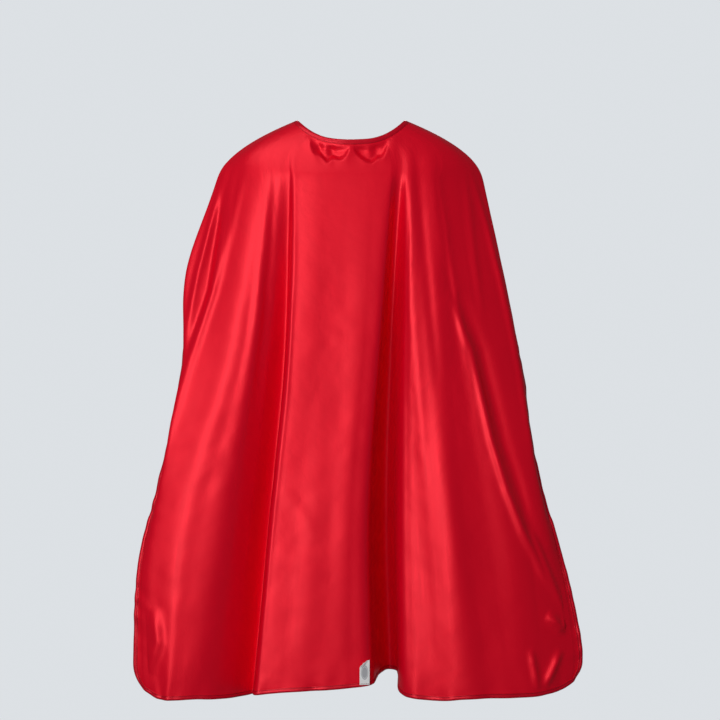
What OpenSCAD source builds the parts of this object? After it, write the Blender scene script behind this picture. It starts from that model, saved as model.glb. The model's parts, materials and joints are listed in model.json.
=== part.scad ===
// Superhero cape, hanging as on a flat hanger. The origin is the middle of the neck
// opening, level with the points where neck and shoulder meet. +Z is up and the
// wearer faces +Y, so the outside of the cape faces -Y.

/* [Cape] */
// Width between the two neck points
neck_w = 206; // [190:1:220]
// How far the back neckline falls below the neck points
neck_fall = 42; // [30:1:50]
// How far the front neckline falls below the neck points
throat_fall = 58; // [50:1:64]
// Distance from the middle of the neck to the back neckline
neck_back = 45; // [38:1:50]
// Distance from the middle of the neck to the throat
neck_front = 50; // [44:1:56]
// Height of the line where the cape leaves the shoulders, below the neck points
yoke_drop = 110; // [100:1:120]

/* [Cloth] */
// Thickness of the cloth panels
cloth_t = 1.2; // [0.8:0.1:1.6]
// Width of the turned hem
hem_w = 8; // [6:0.5:10]
// Thickness of the turned hem
hem_t = 2.2; // [1.8:0.1:2.6]
// Width of the neck binding
binding_w = 10; // [8:0.5:12]
// Thickness of the neck binding
binding_t = 3; // [2.4:0.1:3.4]
// Width and thickness of a line of sewing thread
thread_w = 0.6; // [0.4:0.1:0.8]

/* [Closure] */
// Height of the two closure tabs
tab_h = 30; // [24:1:34]
// Length of the over tab
tab_len = 66; // [56:1:70]
// Thickness of a tab
tab_t = 2; // [1.6:0.1:2.4]
// Height of the hook and loop tapes
tape_h = 20; // [16:1:22]
// Length of the hook and loop tapes
tape_len = 34; // [28:1:35]
// Thickness of each tape
tape_t = 1.4; // [1.2:0.1:1.6]

/* [Label] */
// Width of the sewn label
label_w = 19; // [15:1:22]
// Height of the folded label
label_h = 46; // [36:1:50]
// Thickness of the folded label
label_t = 0.8; // [0.6:0.1:1]

/* [Hidden] */

satin_red = [0.72, 0.02, 0.10];
hem_red = [0.66, 0.02, 0.09];
thread_red = [0.60, 0.01, 0.07];
tape_black = [0.05, 0.05, 0.06];
label_white = [0.90, 0.90, 0.88];

joint_gap = 0.5;      // between the yoke and the train, which swings
seam_gap = 0.3;       // between a panel and its hem or binding
hem_start = 1.2;      // between the binding and the upper end of the hem
thread_lift = 0.3;    // between a strip's face and the thread on it
stitches = 0.8 * hem_w;               // distance of the stitch line from the edge of the hem
binding_stitches = 0.8 * binding_w;   // and from the edge of the binding
yoke_depth = 62;      // how far the yoke line stands out behind the neck
yoke_half = 256;      // half the width over which it does
first_depth = 0.02;   // share of their depth that the folds already have at the yoke line
shoulder_turn = [238, -54];  // where the shoulder line bends down to the side, x and z
steps = 2;            // facets between two neighbouring fold lines
train_rows = 20;
yoke_rows = 6;

// Half widths of the hanging cape, every outline_step down from the yoke line
outline_left = [255, 317, 324, 357, 405, 412, 410];
outline_right = [251, 292, 327, 352, 404, 438, 436];
outline_step = 180;
corner_z = [-1036, -1020];   // where the rounding of the lower left and right corner starts
corner_r = 62;

// The folds, from left to right as seen from behind. Each line holds x at the yoke
// line, at one third and two thirds of the way down and at the hem, and y and z of
// the hem.
BACK_FOLDS = [
    [-244, -306, -375, -363, -73, -1098], // left outer ridge
    [-204, -254, -342, -354, -76, -1099], // left flank
    [-172, -214, -302, -338, -81, -1099], // broad left ridge
    [-152, -182, -240, -290, -74, -1098], // long slope into the left valley
    [-135, -158, -196, -232, -42, -1101],
    [-117, -127, -157, -189, -4, -1100], // left valley
    [-112, -121, -152, -184, -50, -1092], // its rising wall
    [-108, -116, -148, -180, -92, -1086], // folded edge of the middle panel
    [-98, -106, -138, -168, -101, -1084],
    [-60, -66, -94, -120, -104, -1079],   // middle panel
    [-10, -15, -38, -52, -106, -1075],
    [40, 25, 0, -5, -105, -1071],
    [72, 52, 31, 37, -98, -1066],         // right lip of the middle panel
    [80, 58, 41, 49, -50, -1062],
    [87, 66, 50, 59, 10, -1060],          // deep valley
    [93, 77, 68, 76, 32, -1060],
    [98, 89, 84, 92, 0, -1064],
    [104, 96, 89, 92, -70, -1087],        // lip of the right cone
    [110, 106, 108, 116, -90, -1093],
    [118, 121, 140, 164, -98, -1096],     // right cone
    [130, 150, 178, 206, -105, -1092],    // slope up to the next ridge
    [148, 178, 208, 250, -106, -1090],    // broad right ridge
    [160, 205, 258, 304, -100, -1090],
    [174, 228, 314, 350, -91, -1089],     // long slanting ridge
    [206, 262, 334, 370, -84, -1086],     // right outer flank
    [240, 303, 364, 388, -76, -1083]];    // right outer ridge
// The lines at and in front of each side: how far in they lie at the yoke line, at one
// third and two thirds of the way down and at the hem, y at the yoke line and at the
// hem, z of the hem on the left, and angle round the neck. The last is the front edge.
SIDE_FOLDS = [
    [0, 3, 6, 38, 2, -70, -1096, 92],
    [52, 5, 10, 31, 14, -66, -1092, 118],
    [112, 12, 17, 25, 25, -62, -1087, 146],
    [170, 1, 4, 0, 35, -58, -1079, 169]];
sides = len(SIDE_FOLDS);
last_line = 2 * sides + len(BACK_FOLDS) - 1;

label_line = sides + 11.66;  // the label lies on the right slope of the middle panel
label_seam = 3;       // height of the label's seam above the edge of the hem
throat_angle = SIDE_FOLDS[sides - 1][7];
tape_gap = 0.3;       // between the closed hook and loop tapes
tab_gap = 0.5;        // between the binding's end and its tab
tab_below = 8;        // the middle of a tab lies this far below the end of the neckline
tab_round = 6;
under_len = 37;
// How far the left end stands in front of the right one, so that the tabs meet
lap = (tab_t + 2 * tape_t + tape_gap) / abs(cos(throat_angle));

function mix(a, b, k) = a + (b - a) * k;
function sgn(i) = i < sides ? -1 : 1;

// Smooth curve through the values p at parameter u
function through(p, u) =
    let (n = len(p) - 1, i = min(max(floor(u), 0), n - 1), k = u - i, b = p[i], c = p[i + 1],
         a = i > 0 ? p[i - 1] : 2 * b - c, d = i < n - 1 ? p[i + 2] : 2 * c - b)
    0.5 * (2 * b + (c - a) * k + (2 * a - 5 * b + 4 * c - d) * k * k
           + (3 * b - a - 3 * c + d) * k * k * k);

function corner_cut(side, z) =
    let (down = max(0, corner_z[side < 0 ? 0 : 1] - z))
    corner_r - sqrt(max(0, corner_r * corner_r - down * down));
function outline(side, z) =
    side * through(side < 0 ? outline_left : outline_right, (-yoke_drop - z) / outline_step);
// Lines 0 to sides - 1 are the left front wing, from its edge to the side, then come
// the folds of the back, and then the right wing from the side to its edge
function is_side(i) = i < sides || i > last_line - sides;
function side_fold(i) = i < sides ? SIDE_FOLDS[sides - 1 - i] : SIDE_FOLDS[i - last_line + sides - 1];

function yoke_y(x) = -yoke_depth * (1 - pow(min(abs(x) / yoke_half, 1), 3.2));
// How far a line with the stations f lies at the share v of the way down
function station(f, v) = through([f[0], f[1], f[2], f[3]], 3 * v);

// A point of fold line i at the share v of the way from the yoke line to the hem
function line_point(i, v) =
    let (settle = 1 - pow(1 - v, 1.6))
    is_side(i)
    ? let (f = side_fold(i), side = sgn(i), hem = f[6] - (side < 0 ? 0 : corner_z[0] - corner_z[1]),
           z = mix(-yoke_drop, hem, v), cut = i == 0 || i == last_line ? corner_cut(side, z) : 0)
      [outline(side, z) - side * (max(0, station(f, v)) + cut), mix(f[4], f[5], settle), z]
    : let (f = BACK_FOLDS[i - sides])
      [station(f, v), mix(yoke_y(f[0]), f[4], mix(first_depth, 1, settle)), mix(-yoke_drop, f[5], v)];

// The angle round the neck at which fold line i starts, 0 at the middle of the back
function neck_angle(i) =
    is_side(i) ? sgn(i) * side_fold(i)[7]
    : let (x = BACK_FOLDS[i - sides][0]) 90 * sign(x) * pow(min(abs(x) / 255, 1), 0.85);
function neck_point(a) =
    let (s = abs(sin(a)), c = cos(a))
    [neck_w / 2 * sin(a), c > 0 ? -neck_back * c : -(neck_front + (a < 0 ? lap / 2 : -lap / 2)) * c,
     c > 0 ? -neck_fall * (1 - pow(s, 2.8)) : -throat_fall * (1 - pow(s, 2))];
// A point of the yoke on fold line i, from the neck at s = 0 to the yoke line at s = 1
function yoke_line(i, s) =
    let (a = neck_angle(i), n = neck_point(a), e = line_point(i, 0), w = pow(abs(sin(a)), 4),
         m = (n + e) / 2, c = [mix(m.x, shoulder_turn.x * sign(a), w), m.y, mix(m.z, shoulder_turn.y, w)])
    n * (1 - s) * (1 - s) + c * 2 * s * (1 - s) + e * s * s;

// The cloth between the fold lines, at the fractional line number u
function near(u) = [for (k = [-1:2]) min(max(min(floor(u), last_line - 1) + k, 0), last_line)];
function spread(q, k) = 0.5 * (2 * q[1] + (q[2] - q[0]) * k
    + (2 * q[0] - 5 * q[1] + 4 * q[2] - q[3]) * k * k
    + (3 * q[1] - q[0] - 3 * q[2] + q[3]) * k * k * k);
function train_point(u, v) =
    spread([for (i = near(u)) line_point(i, v)], u - min(floor(u), last_line - 1));
function yoke_point(u, s) =
    spread([for (i = near(u)) yoke_line(i, s)], u - min(floor(u), last_line - 1));

function unit(p) = p / max(norm(p), 1e-6);
nudge = 0.02;
function level(p) = unit([p.x, p.y, 0]);
// Outward directions, away from the wearer
function train_out(u, v) =
    let (d = train_point(min(u + nudge, last_line), v) - train_point(max(u - nudge, 0), v))
    level([d.y, -d.x, 0]);
function yoke_out(u, s) =
    let (d = yoke_point(min(u + nudge, last_line), s) - yoke_point(max(u - nudge, 0), s),
         e = yoke_point(u, min(s + nudge, 1)) - yoke_point(u, max(s - nudge, 0)), n = unit(cross(d, e)))
    s > 0.99 ? level([d.y, -d.x, 0]) : -n;

// A closed solid between two grids of points of the same shape
module between_grids(front, back) {
    rows = len(front);
    cols = len(front[0]);
    n = rows * cols;
    function at(r, c) = r * cols + c;
    polyhedron(
        points = concat([for (row = front) each row], [for (row = back) each row]),
        faces = concat(
            [for (r = [0:rows - 2], c = [0:cols - 2]) each
                [[at(r, c), at(r, c + 1), at(r + 1, c)],
                 [at(r, c + 1), at(r + 1, c + 1), at(r + 1, c)]]],
            [for (r = [0:rows - 2], c = [0:cols - 2]) each
                [[n + at(r, c), n + at(r + 1, c), n + at(r, c + 1)],
                 [n + at(r, c + 1), n + at(r + 1, c), n + at(r + 1, c + 1)]]],
            [for (r = [0:rows - 2]) each
                [[at(r, 0), at(r + 1, 0), n + at(r, 0)],
                 [at(r + 1, 0), n + at(r + 1, 0), n + at(r, 0)],
                 [at(r, cols - 1), n + at(r, cols - 1), at(r + 1, cols - 1)],
                 [at(r + 1, cols - 1), n + at(r, cols - 1), n + at(r + 1, cols - 1)]]],
            [for (c = [0:cols - 2]) each
                [[at(0, c), n + at(0, c), at(0, c + 1)],
                 [at(0, c + 1), n + at(0, c), n + at(0, c + 1)],
                 [at(rows - 1, c), at(rows - 1, c + 1), n + at(rows - 1, c)],
                 [at(rows - 1, c + 1), n + at(rows - 1, c + 1), n + at(rows - 1, c)]]]));
}

// Cloth through the grid of [u, v] places, lying from the offset low to the offset high
module train_cloth(grid, low, high) {
    between_grids([for (row = grid) [for (g = row) train_point(g[0], g[1]) + high * train_out(g[0], g[1])]],
                  [for (row = grid) [for (g = row) train_point(g[0], g[1]) + low * train_out(g[0], g[1])]]);
}
module yoke_cloth(grid, low, high) {
    between_grids([for (row = grid) [for (g = row) yoke_point(g[0], g[1]) + high * yoke_out(g[0], g[1])]],
                  [for (row = grid) [for (g = row) yoke_point(g[0], g[1]) + low * yoke_out(g[0], g[1])]]);
}

// Distances along the cloth turned into shares of a fold line or of the gap between two
function drop_share(u, d) = d / norm(train_point(u, 1) - train_point(u, 0));
function edge_share(v, d) = d / norm(train_point(1, v) - train_point(0, v));
function yoke_edge_share(s, d) = d / norm(yoke_point(1, s) - yoke_point(0, s));
// Line numbers with the outer ones drawn in, so that the first lies at e and the last e before the end
function inset(u, e) =
    u < 1 ? mix(e, 1, u) : u > last_line - 1 ? last_line - mix(e, 1, last_line - u) : u;
function neck_share(u, d) = d / norm(yoke_line(round(u), 1) - yoke_line(round(u), 0));
yoke_end = 1 - neck_share(last_line / 2, joint_gap);

lines = [for (k = [0:last_line * steps]) k / steps];
train_v = [for (k = [0:train_rows]) k / train_rows];

// Places along the border of the train, d in from the edge, from the top of the
// left front edge round the hem to the top of the right one
function inside(u, v, d) = inset(u, edge_share(v, d));
function border(d) = concat(
    [for (k = [0:train_rows - 1]) let (v = train_v[k]) [inside(0, v, d), v]],
    [for (u = lines) [inside(u, 1, d), 1 - drop_share(u, d)]],
    [for (k = [train_rows - 1:-1:0]) let (v = train_v[k]) [inside(last_line, v, d), v]]);
function yoke_border(side, d) = [for (k = [0:yoke_rows])
    let (s = mix(neck_share(0, binding_w + hem_start), yoke_end, k / yoke_rows), e = yoke_edge_share(s, d))
    [side < 0 ? e : last_line - e, s]];

function neck_row(d) = [for (u = lines) [u, neck_share(u, d)]];

module yoke_panel() {
    color(satin_red)
        yoke_cloth([for (k = [0:yoke_rows]) [for (u = lines)
            let (s = mix(neck_share(u, binding_w + seam_gap), yoke_end, k / yoke_rows),
                 e = yoke_edge_share(s, hem_w + seam_gap))
            [inset(u, e), s]]], -cloth_t / 2, cloth_t / 2);
}

module yoke_hem() {
    color(hem_red) {
        yoke_cloth([for (d = [hem_w, stitches, 0]) yoke_border(-1, d)], -hem_t / 2, hem_t / 2);
        yoke_cloth([for (d = [0, stitches, hem_w]) yoke_border(1, d)], -hem_t / 2, hem_t / 2);
    }
}

module yoke_hem_thread() {
    low = hem_t / 2 + thread_lift;
    near_edge = stitches - thread_w / 2;
    far_edge = stitches + thread_w / 2;
    color(thread_red) {
        yoke_cloth([yoke_border(-1, far_edge), yoke_border(-1, near_edge)], low, low + thread_w);
        yoke_cloth([yoke_border(1, near_edge), yoke_border(1, far_edge)], low, low + thread_w);
    }
}

module neck_binding() {
    color(hem_red)
        yoke_cloth([for (d = [0, binding_stitches, binding_w]) neck_row(d)], -binding_t / 2, binding_t / 2);
}

module neck_binding_thread() {
    low = binding_t / 2 + thread_lift;
    color(thread_red)
        yoke_cloth([for (d = [-thread_w / 2, thread_w / 2]) neck_row(binding_stitches + d)],
                   low, low + thread_w);
}

module train_panel() {
    d = hem_w + seam_gap;
    color(satin_red)
        train_cloth([for (v = train_v) [for (u = lines)
            [inside(u, v, d), v < 1 ? v : 1 - drop_share(u, d)]]], -cloth_t / 2, cloth_t / 2);
}

module train_hem() {
    color(hem_red)
        train_cloth([for (d = [hem_w, stitches, 0]) border(d)], -hem_t / 2, hem_t / 2);
}

module train_hem_thread() {
    low = hem_t / 2 + thread_lift;
    color(thread_red)
        train_cloth([for (d = [thread_w / 2, -thread_w / 2]) border(stitches + d)], low, low + thread_w);
}

// A tab lying in the XZ plane from x = 0 to x = length, round at its free end,
// with its middle height at z = 0 and its thickness centred on y = 0
module tab(length, height, thickness, round_r) {
    rotate([90, 0, 0])
        translate([0, -height / 2, -thickness / 2])
            linear_extrude(thickness) {
                square([length - round_r, height]);
                translate([0, round_r])
                    square([length, height - 2 * round_r]);
                for (y = [round_r, height - round_r])
                    translate([length - round_r, y])
                        circle(round_r, $fn = 48);
            }
}
left_end = neck_point(-throat_angle);
right_end = neck_point(throat_angle);
tab_z = left_end.z - tab_below;
tape_x = -tape_len / 2;

module under_tab() {
    color(satin_red)
        translate([right_end.x - tab_gap, right_end.y, tab_z])
            mirror([1, 0, 0])
                tab(under_len, tab_h, tab_t, tab_round);
}

module loop_tape() {
    color(tape_black)
        translate([tape_x, right_end.y + (tab_t + tape_t) / 2, tab_z])
            rotate([90, 0, 0])
                translate([0, -tape_h / 2, -tape_t / 2])
                    cube([tape_len, tape_h, tape_t]);
}

module over_tab() {
    color(satin_red)
        translate([left_end.x + tab_gap, left_end.y, tab_z])
            tab(tab_len, tab_h, tab_t, tab_round);
}

module hook_tape() {
    color(tape_black)
        translate([tape_x, left_end.y - (tab_t + tape_t) / 2, tab_z])
            rotate([90, 0, 0])
                translate([0, -tape_h / 2, -tape_t / 2])
                    cube([tape_len, tape_h, tape_t]);
}

label_v = 1 - label_seam / norm(train_point(label_line, 1) - train_point(label_line, 0));
label_out = train_out(label_line, label_v);
label_foot = train_point(label_line, label_v) + (hem_t / 2 + thread_lift + thread_w + seam_gap) * label_out;
label_axis = label_foot + label_t * label_out;

module label() {
    color(label_white)
        translate(label_foot)
            rotate([0, 0, atan2(label_out.x, -label_out.y)])
                translate([-label_w / 2, -label_t, 0])
                    cube([label_w, label_t, label_h]);
}

yoke_panel();
yoke_hem();
yoke_hem_thread();
neck_binding();
neck_binding_thread();
under_tab();
loop_tape();
train_panel();
train_hem();
train_hem_thread();
over_tab();
hook_tape();
label();
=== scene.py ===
"""The superhero cape: satin sheet, turned hem, neck binding, throat closure and label round the CAD frame."""

import json
import math

import bpy
import numpy as np
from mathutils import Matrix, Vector


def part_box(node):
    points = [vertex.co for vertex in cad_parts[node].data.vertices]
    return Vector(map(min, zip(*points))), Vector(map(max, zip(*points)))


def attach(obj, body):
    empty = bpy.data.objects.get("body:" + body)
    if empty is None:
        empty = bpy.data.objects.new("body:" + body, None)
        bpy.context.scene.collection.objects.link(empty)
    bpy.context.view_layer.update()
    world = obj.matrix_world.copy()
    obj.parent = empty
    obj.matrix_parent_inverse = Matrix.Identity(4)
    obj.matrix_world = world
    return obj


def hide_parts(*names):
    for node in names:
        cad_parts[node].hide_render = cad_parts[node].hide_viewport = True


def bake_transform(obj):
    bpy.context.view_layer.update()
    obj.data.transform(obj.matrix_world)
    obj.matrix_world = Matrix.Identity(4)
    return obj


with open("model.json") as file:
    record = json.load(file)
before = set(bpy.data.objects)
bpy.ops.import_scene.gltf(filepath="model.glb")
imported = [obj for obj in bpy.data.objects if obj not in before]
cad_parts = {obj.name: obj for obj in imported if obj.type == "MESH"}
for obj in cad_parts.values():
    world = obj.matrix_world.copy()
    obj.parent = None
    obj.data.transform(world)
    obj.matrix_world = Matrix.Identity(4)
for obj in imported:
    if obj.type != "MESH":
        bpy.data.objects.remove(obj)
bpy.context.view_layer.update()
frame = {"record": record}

MM = 0.001

# ---------------------------------------------------------------- camera

PICTURE_WIDTH = 1.368          # metres across the picture at the cape
CAMERA_DISTANCE = 3.3
VIEW_CENTRE = (0.017, -0.040, -0.460)
SENSOR = 36.0

scene = bpy.context.scene
camera_data = bpy.data.cameras.new("camera")
camera_data.sensor_width = SENSOR
camera_data.lens = SENSOR * (CAMERA_DISTANCE + VIEW_CENTRE[1]) / PICTURE_WIDTH
camera = bpy.data.objects.new("camera", camera_data)
camera.location = (VIEW_CENTRE[0], -CAMERA_DISTANCE, VIEW_CENTRE[2])
camera.rotation_euler = (math.pi / 2, 0, 0)
scene.collection.objects.link(camera)
scene.camera = camera

# ---------------------------------------------------------------- the cape's shape, in mm

NECK_W = 206
NECK_FALL = 42
THROAT_FALL = 58
NECK_BACK = 45
NECK_FRONT = 50
YOKE_DROP = 110
YOKE_DEPTH = 62                # how far the yoke line stands out behind the neck
YOKE_HALF = 256                # half the width over which it does
NECK_SPREAD = 255              # half the width of the yoke line that the back of the neck runs into
FIRST_DEPTH = 0.02             # share of their depth that the folds already have at the yoke line
LAP = 5.2                      # how far the left end of the neck stands in front of the right one
SHOULDER_TURN = (238, -54)     # where the shoulder line bends down to the side, x and z

# Half widths of the hanging cape, every OUTLINE_STEP down from the yoke line
OUTLINE_LEFT = [255, 317, 324, 357, 405, 412, 410]
OUTLINE_RIGHT = [251, 292, 327, 352, 404, 438, 436]
OUTLINE_STEP = 180
CORNER_Z = (-1036, -1020)      # where the rounding of the lower left and right corner starts
CORNER_R = 62

# The folds, from left to right as seen from behind: x at the yoke line, one third and two thirds
# of the way down and at the hem, and y and z of the hem
BACK_FOLDS = [
    (-244, -306, -375, -363, -73, -1098),  # left outer ridge
    (-204, -254, -342, -354, -76, -1099),  # left flank
    (-172, -214, -302, -338, -81, -1099),  # broad left ridge
    (-152, -182, -240, -290, -74, -1098),  # long slope into the left valley
    (-135, -158, -196, -232, -42, -1101),
    (-117, -127, -157, -189, -4, -1100),   # left valley
    (-112, -121, -152, -184, -50, -1092),  # its rising wall
    (-108, -116, -148, -180, -92, -1086),  # folded edge of the middle panel
    (-98, -106, -138, -168, -101, -1084),
    (-60, -66, -94, -120, -104, -1079),    # middle panel
    (-10, -15, -38, -52, -106, -1075),
    (40, 25, 0, -5, -105, -1071),
    (72, 52, 31, 37, -98, -1066),          # right lip of the middle panel
    (80, 58, 41, 49, -50, -1062),
    (87, 66, 50, 59, 10, -1060),           # deep valley
    (93, 77, 68, 76, 32, -1060),
    (98, 89, 84, 92, 0, -1064),
    (104, 96, 89, 92, -70, -1087),         # lip of the right cone
    (110, 106, 108, 116, -90, -1093),
    (118, 121, 140, 164, -98, -1096),      # right cone
    (130, 150, 178, 206, -105, -1092),     # slope up to the next ridge
    (148, 178, 208, 250, -106, -1090),     # broad right ridge
    (160, 205, 258, 304, -100, -1090),
    (174, 228, 314, 350, -91, -1089),      # long slanting ridge
    (206, 262, 334, 370, -84, -1086),      # right outer flank
    (240, 303, 364, 388, -76, -1083),      # right outer ridge
]
# The side and the front wing: how far in they lie at the same four places, y at the yoke line and at
# the hem, z of the hem on the left, and angle round the neck
SIDE_FOLDS = [
    (0, 3, 6, 38, 2, -70, -1096, 92),
    (52, 5, 10, 31, 14, -66, -1092, 118),
    (112, 12, 17, 25, 25, -62, -1087, 146),
    (170, 1, 4, 0, 35, -58, -1079, 169),
]
SIDES = len(SIDE_FOLDS)
LINES = 2 * SIDES + len(BACK_FOLDS)
LAST = LINES - 1


def mix(a, b, k):
    return a + (b - a) * k


def unit(a):
    return a / np.maximum(np.linalg.norm(a, axis=-1, keepdims=True), 1e-9)


def distances(p, axis=0):
    """How far along each line of points every point lies."""
    d = np.linalg.norm(np.diff(p, axis=axis), axis=-1)
    return np.concatenate([np.zeros_like(np.take(d, [0], axis)), np.cumsum(d, axis)], axis)


def weights(k):
    """Catmull-Rom weights of the four neighbours at the share k between the middle two."""
    return (
        0.5 * (-k + 2 * k**2 - k**3),
        0.5 * (2 - 5 * k**2 + 3 * k**3),
        0.5 * (k + 4 * k**2 - 3 * k**3),
        0.5 * (-(k**2) + k**3),
    )


def through(values, u):
    """Smooth curve through values (along their first axis) at the parameters u."""
    values = np.asarray(values, float)
    n = len(values) - 1
    values = np.concatenate([2 * values[:1] - values[1:2], values, 2 * values[-1:] - values[-2:-1]])
    i = np.clip(np.floor(u).astype(int), 0, n - 1)
    k = u - i
    out = 0
    for step, w in enumerate(weights(k)):
        v = values[i + step]
        out = out + v * w.reshape(w.shape + (1,) * (v.ndim - w.ndim))
    return out


def outline(side, z):
    return side * through(OUTLINE_LEFT if side < 0 else OUTLINE_RIGHT, (-YOKE_DROP - z) / OUTLINE_STEP)


def side_fold(i):
    return SIDE_FOLDS[SIDES - 1 - i if i < SIDES else i - LAST + SIDES - 1]


def fold_line(i, v):
    """Points of line i at the shares v of the way from the yoke line to the hem."""
    settle = 1 - (1 - v) ** 1.6
    if SIDES <= i <= LAST - SIDES:
        *stations, y1, hem = BACK_FOLDS[i - SIDES]
        x = through(stations, 3 * v)
        z = mix(-YOKE_DROP, hem, v)
        y0 = -YOKE_DEPTH * (1 - min(abs(stations[0]) / YOKE_HALF, 1) ** 3.2)
        settle = mix(FIRST_DEPTH, 1, settle)
    else:
        side = -1 if i < SIDES else 1
        *stations, y0, y1, hem, _ = side_fold(i)
        hem -= 0 if side < 0 else CORNER_Z[0] - CORNER_Z[1]
        z = mix(-YOKE_DROP, hem, v)
        drawn_in = np.maximum(0, through(stations, 3 * v))
        if i in (0, LAST):
            below = np.maximum(0, CORNER_Z[0 if side < 0 else 1] - z)
            drawn_in = drawn_in + CORNER_R - np.sqrt(CORNER_R**2 - below**2)
        x = outline(side, z) - side * drawn_in
    return np.stack([x, mix(y0, y1, settle), z], axis=-1)


def neck_angle(i):
    """The angle round the neck at which line i starts, 0 at the middle of the back."""
    if SIDES <= i <= LAST - SIDES:
        x = BACK_FOLDS[i - SIDES][0]
        return 90 * math.copysign(min(abs(x) / NECK_SPREAD, 1) ** 0.85, x)
    return (-1 if i < SIDES else 1) * side_fold(i)[7]


def neck_point(angle):
    s = abs(math.sin(math.radians(angle)))
    c = math.cos(math.radians(angle))
    x = NECK_W / 2 * math.sin(math.radians(angle))
    if c > 0:
        return np.array([x, -NECK_BACK * c, -NECK_FALL * (1 - s**2.8)])
    front = NECK_FRONT + math.copysign(LAP / 2, -angle)
    return np.array([x, -front * c, -THROAT_FALL * (1 - s**2)])


def yoke_line(i, s):
    """Points of line i from the neck at s = 0 to the yoke line at s = 1."""
    angle = neck_angle(i)
    n = neck_point(angle)
    e = fold_line(i, np.zeros(1))[0]
    w = abs(math.sin(math.radians(angle))) ** 4
    m = (n + e) / 2
    turn_x = SHOULDER_TURN[0] * math.copysign(1, angle)
    c = np.array([mix(m[0], turn_x, w), m[1], mix(m[2], SHOULDER_TURN[1], w)])
    s = s[:, None]
    return n * (1 - s) ** 2 + c * 2 * s * (1 - s) + e * s**2


# ---------------------------------------------------------------- the fine grid

COLUMNS = 760
YOKE_ROWS = 40
TRAIN_ROWS = 330
ROWS = YOKE_ROWS + TRAIN_ROWS
FINE = COLUMNS / 480           # columns here for each column of the quick grid
CLOTH_AREA = (1200, 1650)      # mm down and across that the random fields cover


def lengths(line, v):
    """Fine line numbers and how far along the cloth they lie, in mm, at the place v of all the lines."""
    u = np.linspace(0, LAST, 4001)
    p = through(np.stack([line(i, np.array([v]))[0] for i in range(LINES)]), u)
    return u, distances(p)


def even_columns(u, far):
    return np.interp(np.linspace(0, far[-1], COLUMNS), far, u)


def smooth(a, sigma, axis):
    """Gaussian smoothing along one axis that keeps the ends in place."""
    r = int(3 * sigma) + 1
    k = np.exp(-0.5 * (np.arange(-r, r + 1) / sigma) ** 2)
    k /= k.sum()
    a = np.moveaxis(a, axis, 0)
    low = 2 * a[:1] - a[1:r + 1][::-1]
    high = 2 * a[-1:] - a[-r - 1:-1][::-1]
    padded = np.concatenate([low, a, high])
    out = sum(k[j] * padded[j:j + len(a)] for j in range(2 * r + 1))
    return np.moveaxis(out, 0, axis)


S = np.linspace(0, 1, YOKE_ROWS, endpoint=False)
V = np.linspace(0, 1, TRAIN_ROWS)
lines = np.stack([np.concatenate([yoke_line(i, S), fold_line(i, V)]) for i in range(LINES)])
# The columns lie evenly along the neck at the top and evenly along the hem from half way down
down_share = np.clip(np.arange(ROWS) / (YOKE_ROWS + 0.5 * TRAIN_ROWS), 0, 1)
down_share = down_share**2 * (3 - 2 * down_share)
u_top, u_low = even_columns(*lengths(yoke_line, 0.5)), even_columns(*lengths(fold_line, 0.8))
U = np.stack([mix(u_top, u_low, k) for k in down_share])
ALONG = np.interp(U, *lengths(fold_line, 0.8))     # where each point's fold passes low down, in mm
P = np.stack([through(lines[:, r], U[r]) for r in range(ROWS)])
P = smooth(P, 3.0 * ROWS / 370, 0)
P = smooth(P, 1.1 * FINE, 1)
# Low down, the cloth turns softly towards its side edges
turning = np.clip(2.2 - np.minimum(abs(U - SIDES + 1), abs(U - LAST + SIDES - 1)) / 1.6, 0, 1)
turning *= np.clip((np.arange(ROWS)[:, None] / ROWS - 0.5) / 0.2, 0, 1)
P = P + (smooth(P, 8 * FINE, 1) - P) * turning[..., None]


def normals(p):
    """Unit directions away from the wearer."""
    return unit(np.cross(np.gradient(p, axis=0), np.gradient(p, axis=1)))


def field(across, down, seed, along=None):
    """Smooth random field over the cloth, about 1 high, with features of that size in mm."""
    rng = np.random.default_rng(seed)
    cells = (int(CLOTH_AREA[0] / down) + 4, int(CLOTH_AREA[1] / across) + 4)
    a = rng.standard_normal(cells)
    rows = through(a, np.linspace(0.5, cells[0] - 2.5, ROWS))
    along = (ALONG if along is None else along) / across + 0.5
    return np.stack([through(rows[r], along[r]) for r in range(ROWS)])


def crease(p, path, width, height):
    """How high a ridge along the path of (x, z) points stands, running out softly at both ends."""
    path = np.array(path, float)
    far = distances(path)
    near = np.full(p.shape[:2], 1e9)
    at = np.zeros(p.shape[:2])
    for a, b, start, end in zip(path[:-1], path[1:], far[:-1], far[1:]):
        d = b - a
        k = np.clip(((p[..., 0] - a[0]) * d[0] + (p[..., 2] - a[1]) * d[1]) / d.dot(d), 0, 1)
        gap = np.hypot(p[..., 0] - a[0] - k * d[0], p[..., 2] - a[1] - k * d[1])
        at = np.where(gap < near, mix(start, end, k), at)
        near = np.minimum(near, gap)
    ends = np.clip(np.minimum(at, far[-1] - at) / (0.3 * far[-1]), 0, 1)
    back = (U > SIDES - 1) & (U < LAST - SIDES + 1)
    return height * np.exp(-((near / width) ** 2)) * ends**0.7 * back


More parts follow.
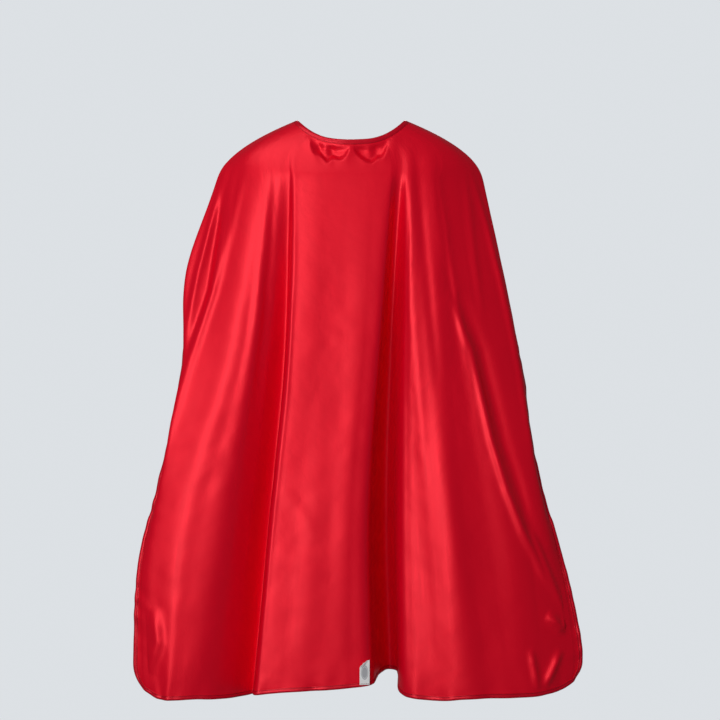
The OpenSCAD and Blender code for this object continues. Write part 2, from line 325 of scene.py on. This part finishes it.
# Fine ridges and grooves as (x, z) paths in mm, with their width and height
CREASES = [
    # the twin ridge at the left, and the one beside the left side
    ([(-222, -84), (-264, -330), (-306, -460), (-352, -620), (-390, -780)], 8, 3.4),
    ([(-202, -98), (-252, -300), (-300, -440)], 8, 2.4),
    ([(-236, -80), (-290, -290), (-316, -420)], 7, 4.5),
    ([(-244, -110), (-274, -330), (-312, -450)], 9, -4.0),
    # the edge of the middle panel
    ([(-110, -60), (-109, -290), (-121, -520), (-150, -780), (-178, -1070)], 6, 2.0),
    # the long slanting ridge at the right, the groove beside it and the smaller ridges round them
    ([(182, -330), (226, -441), (264, -612), (293, -707), (322, -783), (360, -860), (408, -938)], 8, 6.0),
    ([(204, -330), (248, -441), (288, -612), (330, -745), (372, -840)], 12, -5.0),
    ([(216, -90), (234, -270), (250, -380)], 7, 1.8),
    ([(225, -90), (258, -200), (297, -366), (320, -480), (347, -670)], 6, 3.5),
    ([(340, -780), (372, -860), (404, -936)], 6, 4.0),
    # below the right shoulder and along the right cone
    ([(150, -62), (163, -175), (180, -290)], 14, 2.2),
    ([(122, -50), (131, -160), (154, -410), (166, -530)], 10, -2.4),
    ([(112, -45), (120, -400), (140, -700)], 12, 2.0),
    # the lower corners
    ([(368, -938), (394, -962), (424, -952)], 9, 10.0),
    ([(336, -1000), (350, -1076)], 7, 5.0),
    ([(396, -1004), (362, -1074)], 7, 7.0),
    ([(-372, -925), (-366, -990), (-380, -1050)], 12, 7.0),
    # slack in the middle panel
    ([(-130, -700), (-96, -740), (-60, -800)], 14, 1.1),
    ([(-140, -810), (-80, -850), (-40, -870)], 16, 1.0),
    ([(-60, -400), (-5, -430), (40, -420)], 14, 0.5),
]
# Soft fan folds and crossing wrinkles: height, size across and down, seed, and the drop over which
# they grow to their height below WRINKLE_START
WRINKLES = [(1.5, 36, 900, 1, 400), (1.0, 80, 260, 2, 400), (0.2, 34, 42, 3, 300), (0.06, 15, 17, 7, 300)]
WRINKLE_START = 60
BELOW_BINDING = 12             # where the gathers and hollows at the back of the neck begin
HOLLOWS = ((-40, 38), (38, 34))     # x of the middle and half width of the two hollows
HOLLOW_DEPTH = 7.0
HOLLOW_REACH = 30


def wrinkled(p):
    """The cloth p with its creases, wrinkles, neck gathers and puckered edges raised from it."""
    down = distances(p, 0)
    to_hem = down[-1:] - down
    across = distances(p, 1)
    to_edge = np.minimum(across, across[:, -1:] - across)
    lift = 0
    for height, size_across, size_down, seed, growth in WRINKLES:
        grown = np.clip((down - WRINKLE_START) / growth, 0, 1)
        lift = lift + height * field(size_across, size_down, seed) * grown
    for path, width, height in CREASES:
        lift += crease(p, path, width, height)
    lift *= np.clip(to_edge / 60, 0.15, 1)
    # the gathers below the back of the neck, and the two hollows under them
    x, below = p[..., 0], down - BELOW_BINDING
    at_back = p[..., 1] < 0
    neck = at_back * np.exp(-((x / 92) ** 4))
    from_middle = across - across[:, COLUMNS // 2, None] + 800
    gathers = field(12, 300, 4, from_middle)
    lift += 1.5 * neck * np.clip(below / 6, 0, 1) * np.exp(-((below / 26) ** 2)) * gathers
    for centre, half in HOLLOWS:
        reach = HOLLOW_REACH * np.sqrt(np.clip(1 - ((x - centre) / half) ** 2, 0.02, 1)) + 3 * gathers
        inside = np.clip(1 - ((x - centre) / half) ** 4, 0, 1) * at_back
        ends = np.clip(below / 9, 0, 1) * np.clip((reach - below) / 11 + 0.5, 0, 1)
        lift -= HOLLOW_DEPTH * inside * ends
    # puckers along the hem and the front edges
    lift += 1.3 * field(20, 60, 5) * np.exp(-to_hem / 24)
    lift += 1.2 * field(60, 18, 6) * np.exp(-to_edge / 16)
    return p + normals(p) * smooth(smooth(lift, 0.8, 0), 0.8, 1)[..., None]


P = wrinkled(P)
N = normals(P)

# ---------------------------------------------------------------- materials


def principled(name, **settings):
    material = bpy.data.materials.new(name)
    material.use_nodes = True
    shader = material.node_tree.nodes["Principled BSDF"]
    for key, value in settings.items():
        shader.inputs[key.replace("_", " ")].default_value = value
    return material, material.node_tree, shader


def link_bump(tree, shader, height, distance, before=None):
    """Adds a bump of that many metres to the shader, on top of the bump before it."""
    bump = tree.nodes.new("ShaderNodeBump")
    bump.inputs["Strength"].default_value = 1.0
    bump.inputs["Distance"].default_value = distance
    tree.links.new(height, bump.inputs["Height"])
    if before:
        tree.links.new(before.outputs["Normal"], bump.inputs["Normal"])
    tree.links.new(bump.outputs["Normal"], shader.inputs["Normal"])
    return bump


def stretched_noise(tree, coordinates, scale, detail):
    """Noise with its own scale, per metre, along each direction of the cloth."""
    mapping = tree.nodes.new("ShaderNodeMapping")
    mapping.inputs["Scale"].default_value = scale
    noise = tree.nodes.new("ShaderNodeTexNoise")
    noise.inputs["Scale"].default_value = 1.0
    noise.inputs["Detail"].default_value = detail
    tree.links.new(coordinates, mapping.inputs["Vector"])
    tree.links.new(mapping.outputs["Vector"], noise.inputs["Vector"])
    return noise.outputs["Fac"]


def ramp(tree, noise, low, high):
    """The middle range of a noise, spread from low to high."""
    node = tree.nodes.new("ShaderNodeMapRange")
    node.inputs["From Min"].default_value = 0.3
    node.inputs["From Max"].default_value = 0.7
    node.inputs["To Min"].default_value = low
    node.inputs["To Max"].default_value = high
    tree.links.new(noise, node.inputs["Value"])
    return node.outputs["Result"]


THREAD_BUMP = 0.00003
RUMPLE_BUMP = 0.0005


def satin(name, colour, roughness, gloss):
    """Woven satin: uneven dye, threads both ways, and gloss that takes the colour of the dye."""
    material, tree, shader = principled(
        name, Metallic=gloss, Specular_IOR_Level=0.16, Specular_Tint=(1.0, 0.55, 0.58, 1),
        Coat_Weight=0.26, Coat_Roughness=0.34,
        Sheen_Weight=0.02, Sheen_Roughness=0.35, Sheen_Tint=(1.0, 0.08, 0.12, 1))
    nodes, links = tree.nodes, tree.links
    place = nodes.new("ShaderNodeTexCoord").outputs["UV"]
    dye = stretched_noise(tree, place, (9, 5, 1), 3.0)
    mixer = nodes.new("ShaderNodeMix")
    mixer.data_type = "RGBA"
    mixer.inputs[6].default_value = (*(c * 0.93 for c in colour), 1)
    mixer.inputs[7].default_value = (*(min(c * 1.05, 1.0) for c in colour), 1)
    links.new(dye, mixer.inputs["Factor"])
    links.new(mixer.outputs[2], shader.inputs["Base Color"])
    slubs = stretched_noise(tree, place, (420, 9, 1), 1.0)
    links.new(ramp(tree, slubs, roughness - 0.04, roughness + 0.05), shader.inputs["Roughness"])
    weft = stretched_noise(tree, place, (20, 500, 1), 1.0)
    warp_bump = link_bump(tree, shader, slubs, THREAD_BUMP)
    weft_bump = link_bump(tree, shader, weft, THREAD_BUMP, warp_bump)
    rumple = stretched_noise(tree, place, (34, 46, 1), 3.0)
    link_bump(tree, shader, rumple, RUMPLE_BUMP, weft_bump)
    return material


SATIN = satin("satin", (0.84, 0.0004, 0.018), 0.40, 0.30)
SATIN_INSIDE = satin("satin_inside", (0.50, 0.001, 0.012), 0.62, 0.05)
HEM = satin("hem_satin", (0.64, 0.0006, 0.016), 0.36, 0.30)
# Dark red thread, made darker still so that its colour also paints the shade along the sunken stitch lines
THREAD_WITH_PAINTED_SHADE = satin("thread", (0.20, 0.0006, 0.005), 0.5, 0.0)
TAPE = principled("tape", Roughness=0.85, Base_Color=(0.012, 0.012, 0.014, 1))[0]

# ---------------------------------------------------------------- mesh makers


def mesh_object(name, points, faces, materials, which=None):
    mesh = bpy.data.meshes.new(name)
    mesh.from_pydata(np.asarray(points).tolist(), [], faces if isinstance(faces, list) else faces.tolist())
    for m in materials:
        mesh.materials.append(m)
    if which is not None:
        mesh.polygons.foreach_set("material_index", np.asarray(which, np.int32))
    mesh.polygons.foreach_set("use_smooth", [True] * len(mesh.polygons))
    mesh.update()
    obj = bpy.data.objects.new(name, mesh)
    bpy.context.scene.collection.objects.link(obj)
    return obj


def grid_uv(mesh, across, down):
    """Lays the cloth flat in metres: across and down are given in mm at each point."""
    layer = mesh.uv_layers.new(name="cloth")
    index = np.zeros(len(mesh.loops), np.int32)
    mesh.loops.foreach_get("vertex_index", index)
    layer.data.foreach_set("uv", (np.stack([across[index], down[index]], -1) * MM).ravel())


def tube_faces(rings, around, base=0, turned=False):
    """Faces of a tube of rings of points, closed at both ends; turned swaps its inside and outside."""
    at = base + np.arange(rings * around).reshape(rings, around)
    a, b = at[:-1], at[1:]
    faces = np.stack([a, b, np.roll(b, -1, 1), np.roll(a, -1, 1)], -1).reshape(-1, 4).tolist()
    faces += [at[0].tolist(), at[-1][::-1].tolist()]
    return [face[::-1] for face in faces] if turned else faces


def layered(name, p, n, thickness, materials):
    """A closed cloth of two layers and a rim through the grid p, thickness in mm."""
    rows, cols = p.shape[:2]
    front = (p + n * thickness / 2).reshape(-1, 3)
    back = (p - n * thickness / 2).reshape(-1, 3)
    at = np.arange(rows * cols).reshape(rows, cols)
    a, b, c, d = at[:-1, :-1], at[:-1, 1:], at[1:, 1:], at[1:, :-1]
    outer = np.stack([a, d, c, b], -1).reshape(-1, 4)
    size = rows * cols
    ring = np.concatenate([at[0, :-1], at[:-1, -1], at[-1, :0:-1], at[:0:-1, 0]])
    turn = np.roll(ring, -1)
    rim = np.stack([ring, turn, turn + size, ring + size], -1)
    faces = np.concatenate([outer, outer[:, ::-1] + size, rim])
    which = np.concatenate([np.zeros(len(outer)), np.ones(len(outer)), np.zeros(len(rim))])
    return mesh_object(name, np.concatenate([front, back]) * MM, faces, materials, which)


SATIN_T = 0.5
cape = layered("cape_sheet", P, N, SATIN_T, [SATIN, SATIN_INSIDE])
grid_uv(cape.data, np.tile(ALONG.ravel(), 2), np.tile(distances(P, 0).ravel(), 2))
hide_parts("yoke_panel", "train_panel")

# ---------------------------------------------------------------- edges and stitches


def resample(path, others, step):
    """The path at even steps of about that many mm, with the other arrays carried along."""
    far = distances(path)
    count = max(int(far[-1] / step), 2)
    at = np.linspace(0, far[-1], count + 1)
    return [np.stack([np.interp(at, far, a[:, k]) for k in range(3)], -1) for a in (path, *others)]


def frames(path, normal, inner):
    """Directions from the path into the cloth and away from the wearer."""
    t = unit(smooth(np.gradient(path, axis=0), 1.5, 0))
    d = inner - path
    d = unit(d - t * (d * t).sum(-1, keepdims=True))
    n = unit(normal - t * (normal * t).sum(-1, keepdims=True) - d * (normal * d).sum(-1, keepdims=True))
    return d, n


def both_faces(half):
    """A whole section from the half of it over the cloth."""
    return half + [(into, -height) for into, height in half[:0:-1]]


def sweep(name, path, d, n, section, material):
    """A closed tube of the section, whose points are (distance into the cloth, height over it)."""
    section = np.asarray(section, float)
    k = len(section)
    points = path[:, None] + d[:, None] * section[None, :, :1] + n[:, None] * section[None, :, 1:]
    obj = mesh_object(name, points.reshape(-1, 3) * MM, tube_faces(len(path), k), [material])
    grid_uv(obj.data, np.repeat(distances(path), k), np.tile(distances(section), len(path)))
    return obj


# Place along a stitch as a share of its length, and its radius and rise as shares of its thickness
STITCH_RINGS = ((-0.5, 0.15, -0.75), (-0.40, 0.8, -0.1), (-0.15, 1.0, 0.35),
                (0.15, 1.0, 0.35), (0.40, 0.8, -0.1), (0.5, 0.15, -0.75))


def stitches(name, rows, material, length=2.6, gap=0.7, thick=0.32):
    """Sewn rows. Each row is (path, direction out of the cloth) and gets a stitch every length + gap mm."""
    points, faces = [], []
    around = 6
    for path, normal in rows:
        path, normal = resample(path, [normal], length + gap)
        for i in range(len(path) - 1):
            a, b = path[i], path[i + 1]
            t = unit(b - a)
            n = unit(normal[i] - t * normal[i].dot(t))
            side = np.cross(t, n)
            middle = (a + b) / 2
            base = len(points)
            for along, swell, rise in STITCH_RINGS:
                centre = middle + t * along * length + n * rise * thick
                for j in range(around):
                    angle = 2 * math.pi * j / around
                    points.append(centre + (side * math.cos(angle) + n * math.sin(angle)) * thick * swell)
            faces += tube_faces(len(STITCH_RINGS), around, base, turned=True)
    return mesh_object(name, np.array(points) * MM, faces, [material])


EDGE_IN = 4                    # grid cells from the edge at which the cloth's direction is read
STEP = 2.0                     # between two sections of the hem or the binding
HEM_SEAM = 6.3                 # distance of the stitch lines from the edge of the hem
BINDING_SEAM = 8.4             # and from the edge of the binding


def border():
    """The outer edge from the left end of the neck round the hem to the right end.

    Also the points EDGE_IN cells further in, and the normals there."""
    k = EDGE_IN
    down = np.minimum(np.arange(ROWS), ROWS - 1 - k)
    across = np.clip(np.arange(COLUMNS), k, COLUMNS - 1 - k)
    edge = np.concatenate([P[:, 0], P[-1, 1:-1], P[::-1, -1]])
    further_in = [np.concatenate([grid[down, k], grid[-1 - k, across][1:-1], grid[down, -1 - k][::-1]])
                  for grid in (P, N)]
    return resample(edge, further_in, STEP)


edge, edge_inner, edge_normal = border()
edge_normal = unit(smooth(edge_normal, 2, 0))
edge_d, edge_n = frames(edge, edge_normal, edge_inner)
edge_d = unit(smooth(edge_d, 2, 0))
HEM_SECTION = both_faces(
    [(-0.7, 0.0), (-0.2, 0.9), (1.2, 1.7), (3.0, 2.0), (4.8, 1.5), (HEM_SEAM, 0.4), (7.4, 1.1), (8.3, 0.4)])
hem = sweep("turned_hem", edge, edge_d, edge_n, HEM_SECTION, HEM)
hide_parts("yoke_hem", "train_hem")

seam = edge + edge_d * HEM_SEAM
seam_rise = edge_n * 0.55
hem_stitches = stitches(
    "hem_stitches", [(seam + seam_rise, edge_n), (seam - seam_rise, -edge_n)], THREAD_WITH_PAINTED_SHADE, 3.0, 0.7, 0.42)
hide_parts("yoke_hem_thread", "train_hem_thread")

for piece in (cape, hem, hem_stitches):
    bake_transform(piece)

BINDING_SECTION = both_faces(
    [(-0.8, 0.0), (-0.4, 0.9), (1.0, 1.5), (4.0, 1.6), (7.2, 1.35), (BINDING_SEAM, 0.85),
     (9.4, 1.1), (10.0, 0.5)])
neck, neck_inner, neck_normal = resample(P[0], [P[5], N[4]], STEP)
neck = smooth(neck, 2, 0)
neck_d, neck_n = frames(neck, neck_normal, neck_inner)
# Thinner at both ends, so that the over tab can fold back over it
from_end = STEP * np.minimum(np.arange(len(neck)), np.arange(len(neck))[::-1])
neck_rise = neck_n * np.clip(0.6 + 0.08 * from_end, 0, 1)[:, None]
binding = sweep("neck_binding_strip", neck, neck_d, neck_rise, BINDING_SECTION, HEM)
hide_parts("neck_binding")
seam = neck + neck_d * BINDING_SEAM
seam_rise = neck_rise * 0.95
binding_stitches = stitches(
    "binding_stitches", [(seam + seam_rise, neck_n), (seam - seam_rise, -neck_n)], THREAD_WITH_PAINTED_SHADE)
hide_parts("neck_binding_thread")

# ---------------------------------------------------------------- closure at the throat

TAB_CORNER = 6
TAB_ROOT_CORNER = 1.0
TAPE_CORNER = 1.5
TAB_SEAM = 3.4                 # distance of the stitch line from the edge of a tab


def quarter(x, z, radius, start):
    """Points of a quarter circle round (x, z) from the angle start on."""
    angles = np.radians(start + np.arange(0, 91, 10))
    return np.stack([x + radius * np.cos(angles), z + radius * np.sin(angles)], -1)


def tab_outline(width, height, far, near):
    """Points round a tab from (0, 0), with its corner radii at the far and the near end."""
    return np.concatenate([
        quarter(width - far, far, far, -90),
        quarter(width - far, height - far, far, 0),
        quarter(near, height - near, near, 90),
        quarter(near, near, near, 180),
    ])


def inset(outline_points, distance):
    t = unit(np.roll(outline_points, -1, 0) - np.roll(outline_points, 1, 0))
    return outline_points + np.stack([-t[:, 1], t[:, 0]], -1) * distance


def plate(name, outline_points, profile, place, material):
    """A padded plate, whose profile lists (distance in from the outline, height) from the edge inwards."""
    rings = [(inset(outline_points, d), h) for d, h in profile]
    every = rings[::-1] + [(p, -h) for p, h in rings[1:]]
    points = [place(x, z, h) for p, h in every for x, z in p]
    return mesh_object(name, np.array(points), tube_faces(len(every), len(outline_points)), [material])


def flat_box(node):
    """Both ends of a node's box, the middle of its thickness, and its width and height in mm."""
    low, high = (np.array(c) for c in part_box(node))
    return low, high, (low[1] + high[1]) / 2, (high[0] - low[0]) / MM, (high[2] - low[2]) / MM


def tab(name, node, body, flip):
    low, high, middle, width, height = flat_box(node)

    def place(x, z, h):
        return (high[0] - x * MM if flip else low[0] + x * MM, middle + h * MM, low[2] + z * MM)

    shape = tab_outline(width, height, TAB_CORNER, TAB_ROOT_CORNER)
    profile = [(0.0, 0.0), (0.15, 0.55), (0.8, 0.9), (2.4, 1.0), (TAB_SEAM, 0.72), (4.2, 0.9), (6.0, 0.95)]
    piece = plate(name, shape, profile, place, HEM)
    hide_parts(node)
    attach(piece, body)
    line = inset(shape, TAB_SEAM)
    line = np.concatenate([line, line[:1]])
    rows = []
    for side in (1, -1):
        row = np.array([place(x, z, side * 0.8) for x, z in line]) / MM
        rows.append((row, np.tile([0.0, side, 0.0], (len(row), 1))))
    sewn = stitches(name + "_stitches", rows, THREAD_WITH_PAINTED_SHADE)
    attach(sewn, body)


PILE_PITCH = 1.1
PILE_MARGIN = 1.2
PILE_WIRE = 0.07               # half the thickness of a hook or loop


def pile_wire(x, z, turn, angles, reach, rise, place):
    """Points of one hook or loop: a square wire that bends up from (x, z) and over in the direction turn."""
    points = []
    for angle in np.radians(angles):
        along = reach * (1 - math.cos(angle)) / 2
        h = 0.42 + rise * math.sin(angle) ** 0.8
        for ex, ez in ((-1, -1), (1, -1), (1, 1), (-1, 1)):
            points.append(place(x + along * math.cos(turn) + ex * PILE_WIRE,
                                z + along * math.sin(turn) + ez * PILE_WIRE, h))
    return points


def tape(name, node, body, facing, hooked):
    """A woven tape with its pile: facing is +1 where the pile points to +Y."""
    low, high, middle, width, height = flat_box(node)

    def place(x, z, h):
        return (low[0] + x * MM, middle + facing * (h - 0.25) * MM, low[2] + z * MM)

    shape = tab_outline(width, height, TAPE_CORNER, TAPE_CORNER)
    if facing < 0:
        shape = shape[::-1]
    base = plate(name, shape, [(0.0, 0.0), (0.0, 0.3), (0.3, 0.42), (1.2, 0.42)], place, TAPE)
    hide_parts(node)
    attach(base, body)
    rng = np.random.default_rng(3 if hooked else 4)
    angles = (0, 50, 100, 150) if hooked else (0, 60, 120, 180)
    reach, rise = (0.45, 0.42) if hooked else (0.5, 0.378)
    points, faces = [], []
    for i in range(int((width - 2 * PILE_MARGIN) / PILE_PITCH)):
        for j in range(int((height - 2 * PILE_MARGIN) / PILE_PITCH)):
            x = 1.5 + i * PILE_PITCH + rng.uniform(-0.2, 0.2)
            z = 1.5 + j * PILE_PITCH + rng.uniform(-0.2, 0.2)
            turn = 0.0 if hooked else rng.uniform(0, math.pi)
            faces += tube_faces(len(angles), 4, len(points), turned=True)
            points += pile_wire(x, z, turn, angles, reach, rise, place)
    pile = mesh_object(name + "_pile", np.array(points), faces, [TAPE])
    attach(pile, body)


for piece in (binding, binding_stitches):
    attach(piece, "collar")
tab("under_tab_cloth", "under_tab", "collar", True)
tab("over_tab_cloth", "over_tab", "closure", False)
tape("loop_tape_woven", "loop_tape", "collar", 1, False)
tape("hook_tape_woven", "hook_tape", "closure", -1, True)

# ---------------------------------------------------------------- label


LABEL_W = 19
LABEL_H = 46
LABEL_T = 0.7
LABEL_COLUMNS = 24
LABEL_ROWS = 56
OVAL_W = 0.36                  # half width and half height of the printed oval, as shares of the label
OVAL_H = 0.29
# How far out from the middle of the oval, as a share of its size, and the grey of the print there
OVAL_RINGS = ((0.74, 0.42), (0.78, 0.75), (0.84, 0.75), (0.88, 0.36), (0.96, 0.36))


def joint(name):
    return next(j for j in frame["record"]["behaviour"]["joints"] if j["name"] == name)


def label_material():
    """Woven white tape with a blank grey oval."""
    material, tree, shader = principled("label", Roughness=0.6)
    nodes, links = tree.nodes, tree.links
    uv = nodes.new("ShaderNodeTexCoord")
    centre = nodes.new("ShaderNodeMapping")
    centre.inputs["Location"].default_value = (-0.5 / OVAL_W, -0.5 / OVAL_H, 0)
    centre.inputs["Scale"].default_value = (1 / OVAL_W, 1 / OVAL_H, 0)
    length = nodes.new("ShaderNodeVectorMath")
    length.operation = "LENGTH"
    rings = nodes.new("ShaderNodeValToRGB")
    stops = rings.color_ramp.elements
    stops[0].position, stops[0].color = 0.0, (0.42, 0.42, 0.44, 1)
    stops[1].position, stops[1].color = 1.0, (0.86, 0.85, 0.84, 1)
    for position, grey in OVAL_RINGS:
        stop = stops.new(position)
        stop.color = (grey, grey, grey * 1.03, 1)
    links.new(uv.outputs["UV"], centre.inputs["Vector"])
    links.new(centre.outputs["Vector"], length.inputs[0])
    links.new(length.outputs["Value"], rings.inputs["Fac"])
    links.new(rings.outputs["Color"], shader.inputs["Base Color"])
    weave = nodes.new("ShaderNodeTexWave")
    weave.inputs["Scale"].default_value = 60
    bump = nodes.new("ShaderNodeBump")
    bump.inputs["Strength"].default_value = 0.15
    bump.inputs["Distance"].default_value = 0.0002
    links.new(uv.outputs["UV"], weave.inputs["Vector"])
    links.new(weave.outputs["Fac"], bump.inputs["Height"])
    links.new(bump.outputs["Normal"], shader.inputs["Normal"])
    return material


def label():
    """The label stands on its seam at the hem, with its upper left corner curled over."""
    hinge = joint("label_flip")
    foot = np.array(hinge["pos_m"]) / MM
    t = unit(np.array(hinge["axis"], float))
    out = np.array([t[1], -t[0], 0.0])
    up = np.array([0.0, 0.0, 1.0])
    a = np.linspace(-0.5, 0.5, LABEL_COLUMNS)[None, :, None]
    h = np.linspace(0, 1, LABEL_ROWS)[:, None, None]
    curl = np.clip((h - 0.74) / 0.26 + (-a - 0.25) / 0.75, 0, 1) ** 2
    lean = 0.5 * np.sin(h * math.pi)
    p = foot + t * (a * LABEL_W + 5.0 * curl) + up * (h * LABEL_H - 4.5 * curl)
    p = p + out * (-0.4 + lean + 5.5 * curl ** 0.8)
    piece = layered("woven_label", p, normals(p), LABEL_T, [label_material()] * 2)
    mesh = piece.data
    layer = mesh.uv_layers.new(name="label_uv")
    across = np.tile(np.linspace(0, 1, LABEL_COLUMNS), LABEL_ROWS)
    up_share = np.repeat(np.linspace(0, 1, LABEL_ROWS), LABEL_COLUMNS)
    index = np.zeros(len(mesh.loops), np.int32)
    mesh.loops.foreach_get("vertex_index", index)
    index %= LABEL_COLUMNS * LABEL_ROWS
    layer.data.foreach_set("uv", np.stack([across[index], up_share[index]], -1).ravel())
    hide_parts("label")
    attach(piece, "label")
    seam_ends = LABEL_W / 2 - 1
    row = np.array([foot + t * x + out * 0.15 + up * 2.2 for x in np.linspace(-seam_ends, seam_ends, 12)])
    sewn = stitches("label_stitches", [(row, np.tile(out, (len(row), 1)))], THREAD_WITH_PAINTED_SHADE)
    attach(sewn, "label")


label()

# ---------------------------------------------------------------- light and floor

BACKGROUND = (0.72, 0.75, 0.78, 1)
FLOOR_Z = -1.30
FLOOR_HALF = 8

scene.view_settings.view_transform = "Standard"
world = bpy.data.worlds.new("studio")
scene.world = world
world.use_nodes = True


def world_light():
    """A pale background that lights the cape only softly."""
    nodes, links = world.node_tree.nodes, world.node_tree.links
    seen = nodes["Background"]
    seen.inputs["Color"].default_value = BACKGROUND
    lit = nodes.new("ShaderNodeBackground")
    lit.inputs["Color"].default_value = (0.80, 0.86, 0.95, 1)
    lit.inputs["Strength"].default_value = 0.17
    path = nodes.new("ShaderNodeLightPath")
    both = nodes.new("ShaderNodeMixShader")
    links.new(path.outputs["Is Camera Ray"], both.inputs["Fac"])
    links.new(lit.outputs["Background"], both.inputs[1])
    links.new(seen.outputs["Background"], both.inputs[2])
    links.new(both.outputs["Shader"], nodes["World Output"].inputs["Surface"])


world_light()


def area_light(name, place, target, size, watts, colour):
    """A soft rectangular light at place that shines towards target and isn't seen itself."""
    data = bpy.data.lights.new(name, "AREA")
    data.shape = "RECTANGLE"
    data.size, data.size_y = size
    data.energy = watts
    data.color = colour
    light = bpy.data.objects.new(name, data)
    light.location = place
    light.rotation_euler = (Vector(target) - Vector(place)).to_track_quat("-Z", "Y").to_euler()
    light.visible_camera = False
    scene.collection.objects.link(light)
    return light


area_light("key", (-1.6, -3.7, -0.1), (0, 0, -0.6), (1.4, 3.2), 70, (1, 0.98, 0.96))
fill = area_light("fill", (-0.3, -4.0, -0.7), (0, 0, -0.6), (2.0, 2.8), 36, (0.98, 0.98, 1))
fill.visible_glossy = False
area_light("top", (-0.9, -1.5, 1.7), (0, 0, -0.2), (1.6, 1.2), 17, (1, 0.99, 0.98))
area_light("front", (0.1, 3.7, 0.6), (0, 0, -0.6), (0.7, 2.4), 80, (1, 0.99, 0.98))


def pale_floor():
    """A wide floor below the hanging cape, as bright as the background and lighting nothing."""
    pale = principled("pale_floor", Roughness=1.0, Base_Color=(0, 0, 0, 1), IOR=1.0,
                      Emission_Color=BACKGROUND, Emission_Strength=1.0)[0]
    corners = [(-1, -1), (1, -1), (1, 1), (-1, 1)]
    points = [(x * FLOOR_HALF, y * FLOOR_HALF, FLOOR_Z) for x, y in corners]
    floor = mesh_object("pale_floor", points, [[0, 1, 2, 3]], [pale])
    floor.visible_diffuse = floor.visible_glossy = False
    return floor


pale_floor()
